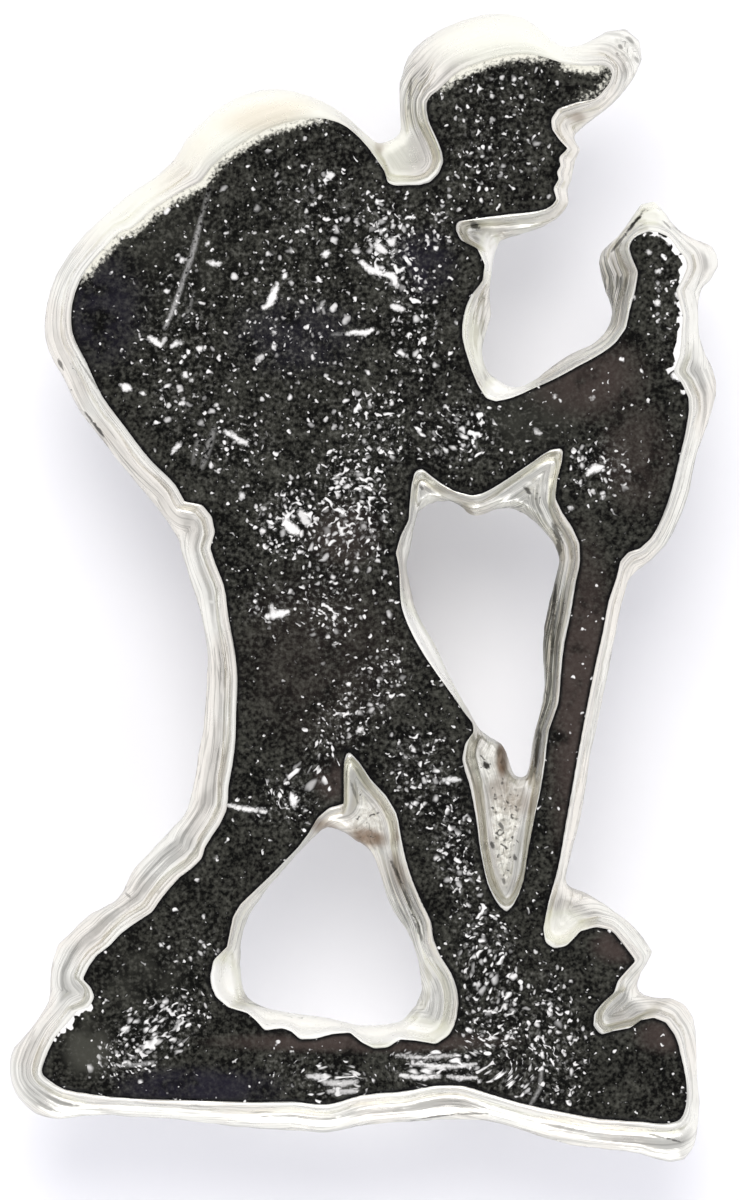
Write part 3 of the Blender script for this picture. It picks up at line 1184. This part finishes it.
class BADGE_OT_black_face(bpy.types.Operator):
    """Model the pebbled black lacquer on the raised face"""

    bl_idname = "badge.black_face"
    bl_label = "Black Face"

    # How much thicker the lacquer is while it gets its skin
    BLOCK_MM = 0.5
    # How far below the top of the lacquer its front reaches down
    FRONT_MM = 0.03
    # Height of the wide soft swells, and how deep the rim and the hem are pressed
    SWELL_MM = 0.03
    RIM_DROP_MM = 0.045
    HEM_DEPTH_MM = 0.05
    # Edges that turn by more than this, in degrees, stay sharp
    SHARP_ANGLE = 50
    # Where the lacquer thins out in dots towards the tops of the pack and the cap: x, y, radius on the sheet
    SOFT_TOPS = (
        (6.6, 26.5, 2.2), (5.0, 25.3, 1.4), (3.6, 24.6, 1.5), (2.5, 23.7, 1.1), (12.3, 28.4, 2.0),
        (14.6, 28.2, 0.9))
    # Where the outline is frayed, in the same way
    FRAYED = ((17.5, 21.6, 1.6), (17.3, 23.4, 1.2), (16.4, 24.4, 0.5), (1.7, 4.6, 0.9))

    def execute(self, context):
        settings = context.scene.badge_lacquer
        outline = Outline()
        piece = copied_node("black_face", "black_lacquer_face")
        self.thicken(piece)
        apply_modifier(piece, "REMESH", "skin", mode="VOXEL", voxel_size=settings.skin * MM)
        apply_modifier(piece, "SMOOTH", "soften", factor=0.5, iterations=2)
        self.cut_back(piece)
        self.chart(piece, outline)
        height = settings.pebble_height * MM
        displace(piece, "pebbles", height, size_mm=0.17, group="pebbled", depth=1, direction="Z")
        displace(piece, "swells", self.SWELL_MM, size_mm=1.4, group="top", direction="Z")
        press(piece, "rim", self.RIM_DROP_MM)
        press(piece, "hem", self.HEM_DEPTH_MM)
        piece.vertex_groups.clear()
        select_only(piece)
        bpy.ops.object.shade_smooth_by_angle(angle=math.radians(self.SHARP_ANGLE))
        to_real_size(piece)
        finish_piece(piece, "black_face", lacquer_material(settings))
        return {"FINISHED"}

    def thicken(self, piece):
        """Draws the underside down, so that the skin has a block to wrap."""
        bpy.ops.object.mode_set(mode="EDIT")
        bpy.ops.mesh.select_all(action="DESELECT")
        bpy.ops.object.mode_set(mode="OBJECT")
        middle = (LACQUER_BOTTOM_MM + LACQUER_TOP_MM) / 2
        piece.data.vertices.foreach_set("select", vertex_places(piece)[:, 2] < middle)
        bpy.ops.object.mode_set(mode="EDIT")
        bpy.ops.mesh.select_mode(type="VERT")
        bpy.ops.transform.translate(value=(0, 0, -self.BLOCK_MM))
        bpy.ops.object.mode_set(mode="OBJECT")

    @staticmethod
    def cut_back(piece):
        """Cuts the block off at the lacquer's underside and closes it with a flat face."""
        select_only(piece)
        bpy.ops.object.mode_set(mode="EDIT")
        bpy.ops.mesh.select_all(action="SELECT")
        bpy.ops.mesh.bisect(plane_co=(0, 0, LACQUER_BOTTOM_MM), plane_no=(0, 0, 1), clear_inner=True)
        bpy.ops.mesh.select_all(action="DESELECT")
        bpy.ops.mesh.select_non_manifold(
            extend=False, use_wire=False, use_boundary=True, use_multi_face=False, use_non_contiguous=False,
            use_verts=False)
        bpy.ops.mesh.fill(use_beauty=False)
        bpy.ops.mesh.select_all(action="SELECT")
        bpy.ops.mesh.normals_make_consistent(inside=False)
        bpy.ops.object.mode_set(mode="OBJECT")

    def chart(self, piece, outline):
        """Vertex groups for the relief, and the attributes that the material reads."""
        places = vertex_places(piece)
        away, _, _ = outline.nearest(places)
        top = np.where(places[:, 2] > LACQUER_TOP_MM - self.FRONT_MM, 1.0, 0.0)
        thick = field_strength(places, FLECK_FIELDS)
        inward = smooth_step(away, 0.02, 0.2)
        weigh(piece, "pebbled", top * inward * (0.1 + 0.9 * np.minimum(1.3 * thick, 1)))
        weigh(piece, "top", top * inward)
        weigh(piece, "rim", top * (1 - smooth_step(away, 0.0, 0.14)))
        hem, hem_light = mark_field(places, HEM)
        weigh(piece, "hem", top * (1 - smooth_step(hem, 0.0, 0.08)))
        store(piece, "hem_mark", hem)
        store(piece, "hem_light", hem_light)
        mark, light = mark_field(places, MARKS)
        store(piece, "mark", mark)
        store(piece, "mark_light", light)
        store(piece, "fleck_way", drawn_out(places) / MM)
        store(piece, "flecks", thick * smooth_step(away, 0.05, 0.3))
        for name, spots in (("maroon", MAROON_SPOTS), ("blue", BLUE_SPOTS), ("grey", GREY_SPOTS)):
            store(piece, name, field_strength(places, spots))
        soft = self.round_spots(places, self.SOFT_TOPS) * (1 - smooth_step(away, 0.0, 0.42))
        frayed = self.round_spots(places, self.FRAYED) * (1 - smooth_step(away, 0.0, 0.3))
        store(piece, "soft_edge", soft)
        store(piece, "frayed", frayed)
        store(piece, "dark_rim", (1 - smooth_step(away, 0.03, 0.12)) * (1 - np.maximum(soft, frayed)))

    @staticmethod
    def round_spots(places, spots):
        """1 in the middle of some round spots on the sheet and 0 outside them."""
        return np.max([soft_ellipse(places, x, y, radius, radius, 0) for x, y, radius in spots], axis=0)


class BADGE_OT_pin_clutch(bpy.types.Operator):
    """Model the round clutch on the post"""

    bl_idname = "badge.pin_clutch"
    bl_label = "Pin Clutch"

    SIDES = 96
    ROUNDING_STEPS = 4
    # Angles in degrees: edges that turn by more than the first are rounded, and those that then turn by
    # more than the second look sharp.
    ROUNDED_ANGLE = 40
    SHARP_ANGLE = 35
    # A face is the upper one when its normal points up by more than this
    UPWARD = 0.9

    def execute(self, context):
        settings = context.scene.badge_clutch
        foot_height = settings.foot_height * MM
        bpy.ops.object.select_all(action="DESELECT")
        bpy.ops.mesh.primitive_cylinder_add(
            vertices=self.SIDES, radius=CLUTCH_RADIUS_MM, depth=foot_height,
            location=(0, 0, foot_height / 2))
        piece = context.active_object
        piece.name = "clutch"
        piece.data.name = "clutch"
        bpy.ops.object.transform_apply(location=True, rotation=False, scale=False)
        self.select_top(piece)
        bpy.ops.mesh.inset(thickness=settings.step * MM)
        self.pull(CLUTCH_TOP_MM - foot_height)
        bpy.ops.mesh.inset(thickness=CLUTCH_RADIUS_MM - (settings.step + settings.bore_radius) * MM)
        self.pull(settings.bore_floor * MM - CLUTCH_TOP_MM)
        bpy.ops.mesh.select_all(action="DESELECT")
        bpy.ops.mesh.select_mode(type="EDGE")
        bpy.ops.mesh.edges_select_sharp(sharpness=math.radians(self.ROUNDED_ANGLE))
        bpy.ops.mesh.bevel(offset=settings.rounding * MM, segments=self.ROUNDING_STEPS, profile=0.5)
        bpy.ops.object.mode_set(mode="OBJECT")
        bpy.ops.object.shade_smooth_by_angle(angle=math.radians(self.SHARP_ANGLE))
        to_real_size(piece)
        finish_piece(piece, "pin_clutch", nickel_material(settings))
        return {"FINISHED"}

    def select_top(self, piece):
        """Goes into edit mode with the upper face selected."""
        bpy.ops.object.mode_set(mode="EDIT")
        bpy.ops.mesh.select_mode(type="FACE")
        bpy.ops.mesh.select_all(action="DESELECT")
        bpy.ops.object.mode_set(mode="OBJECT")
        for face in piece.data.polygons:
            face.select = face.normal.z > self.UPWARD
        bpy.ops.object.mode_set(mode="EDIT")

    @staticmethod
    def pull(distance):
        """Extrudes the selected face straight up or down."""
        bpy.ops.mesh.extrude_region_move(TRANSFORM_OT_translate={"value": (0, 0, distance)})


class BADGE_OT_stage(bpy.types.Operator):
    """Set up the pale floor, the soft light and the camera straight above"""

    bl_idname = "badge.stage"
    bl_label = "Stage"

    # Width of the camera's sensor, and the nearest and furthest that it sees
    SENSOR = 0.036
    CLIP = (0.01, 20.0)
    FLOOR_SIZE = 6.0
    LIGHT_DISTANCE = 0.7
    # Where the lights stand, in degrees: turned from the top of the picture to the right, and height
    KEY_PLACE = (-4, 64)
    FILL_PLACE = (184, 24)
    KEY_COLOUR = (1.0, 0.975, 0.92)
    FILL_COLOUR = (0.97, 0.97, 1.0)
    TENT_COLOUR = (0.948, 0.944, 1.0, 1.0)
    # How bright the tent is at its sides, how much more towards the top of the picture, and how much less
    # higher up and in the opening for the camera, which sets in between these heights
    TENT_LIGHT = 1.2
    TENT_TOP = 0.15
    TENT_HEIGHT_LOSS = 0.28
    OPENING_LOSS = 0.28
    OPENING = (0.84, 0.99)

    def execute(self, context):
        settings = context.scene.badge_stage
        scene = context.scene
        centre_x, centre_y = on_badge_mm(SHEET_MM[0] / 2, SHEET_MM[1] / 2)
        centre = Vector((centre_x / MM, centre_y / MM, LACQUER_TOP_MM / MM))
        bpy.ops.object.select_all(action="DESELECT")
        bpy.ops.mesh.primitive_plane_add(size=self.FLOOR_SIZE, location=(0, 0, 0))
        floor = context.active_object
        floor.name = "floor"
        floor.data.materials.append(floor_material(settings))

        camera_data = bpy.data.cameras.new("camera")
        camera_data.sensor_width = self.SENSOR * MM
        camera_data.lens = self.SENSOR * MM * settings.camera_height / (SHEET_MM[1] * SHEET_SCALE / MM)
        camera_data.clip_start, camera_data.clip_end = self.CLIP
        camera = bpy.data.objects.new("camera", camera_data)
        camera.location = centre + Vector((0, 0, settings.camera_height))
        scene.collection.objects.link(camera)
        scene.camera = camera

        key = self.add_light(
            "key_light", centre, self.KEY_PLACE, settings.key_power, settings.key_size, self.KEY_COLOUR)
        # It would mirror in the domes as a hard white patch
        key.visible_glossy = False
        self.add_light(
            "fill_light", centre, self.FILL_PLACE, settings.fill_power, settings.fill_size, self.FILL_COLOUR)
        self.make_tent(scene)
        scene.view_settings.view_transform = "Standard"
        return {"FINISHED"}

    def add_light(self, name, centre, place, power, size, colour):
        """A round soft light that looks at the badge from a distance."""
        turn, rise = (math.radians(angle) for angle in place)
        towards = Vector((math.sin(turn) * math.cos(rise), math.cos(turn) * math.cos(rise), math.sin(rise)))
        light_data = bpy.data.lights.new(name, "AREA")
        light_data.shape = "DISK"
        light_data.size = size
        light_data.energy = power
        light_data.color = colour
        light = bpy.data.objects.new(name, light_data)
        light.location = centre + towards * self.LIGHT_DISTANCE
        light.rotation_mode = "QUATERNION"
        light.rotation_quaternion = (-towards).to_track_quat("-Z", "Y")
        bpy.context.scene.collection.objects.link(light)
        return light

    def make_tent(self, scene):
        """A light tent all round, with the darker opening that the camera looks through."""
        world = bpy.data.worlds.new("light tent")
        world.use_nodes = True
        world.node_tree.nodes.clear()
        builder = NodeBuilder(world.node_tree)
        _, to_top, rise = builder.parts(builder.value("ShaderNodeTexCoord", "Generated"))
        strength = to_top.scaled(self.TENT_TOP, self.TENT_LIGHT) - (rise | 0.0) * self.TENT_HEIGHT_LOSS
        strength = strength - rise.ramp(*self.OPENING) * self.OPENING_LOSS
        background = builder.value(
            "ShaderNodeBackground", 0, {"Color": self.TENT_COLOUR, "Strength": strength})
        builder.add("ShaderNodeOutputWorld", {0: background})
        scene.world = world


class BADGE_PT_panel(bpy.types.Panel):
    """The badge's pieces and stage in the sidebar"""

    bl_idname = "BADGE_PT_panel"
    bl_label = "Pin Badge"
    bl_space_type = "VIEW_3D"
    bl_region_type = "UI"
    bl_category = "Badge"

    def draw(self, context):
        layout = self.layout
        for name, _, operator in GROUPS:
            layout.operator(operator.bl_idname)
            settings = getattr(context.scene, name)
            for key in type(settings).__annotations__:
                layout.prop(settings, key)


# What the scene calls each group of settings, the group, and the operator that uses it
GROUPS = (
    ("badge_stage", BadgeStageSettings, BADGE_OT_stage),
    ("badge_metal", BadgeMetalSettings, BADGE_OT_cast_metal),
    ("badge_lacquer", BadgeLacquerSettings, BADGE_OT_black_face),
    ("badge_clutch", BadgeClutchSettings, BADGE_OT_pin_clutch),
)


def register():
    for name, settings, operator in GROUPS:
        bpy.utils.register_class(settings)
        setattr(bpy.types.Scene, name, bpy.props.PointerProperty(type=settings))
        bpy.utils.register_class(operator)
    bpy.utils.register_class(BADGE_PT_panel)


def unregister():
    bpy.utils.unregister_class(BADGE_PT_panel)
    for name, settings, operator in reversed(GROUPS):
        bpy.utils.unregister_class(operator)
        delattr(bpy.types.Scene, name)
        bpy.utils.unregister_class(settings)


def main():
    register()
    bpy.ops.badge.stage()
    bpy.ops.badge.cast_metal()
    bpy.ops.badge.black_face()
    bpy.ops.badge.pin_clutch()


if __name__ == "__main__":
    main()
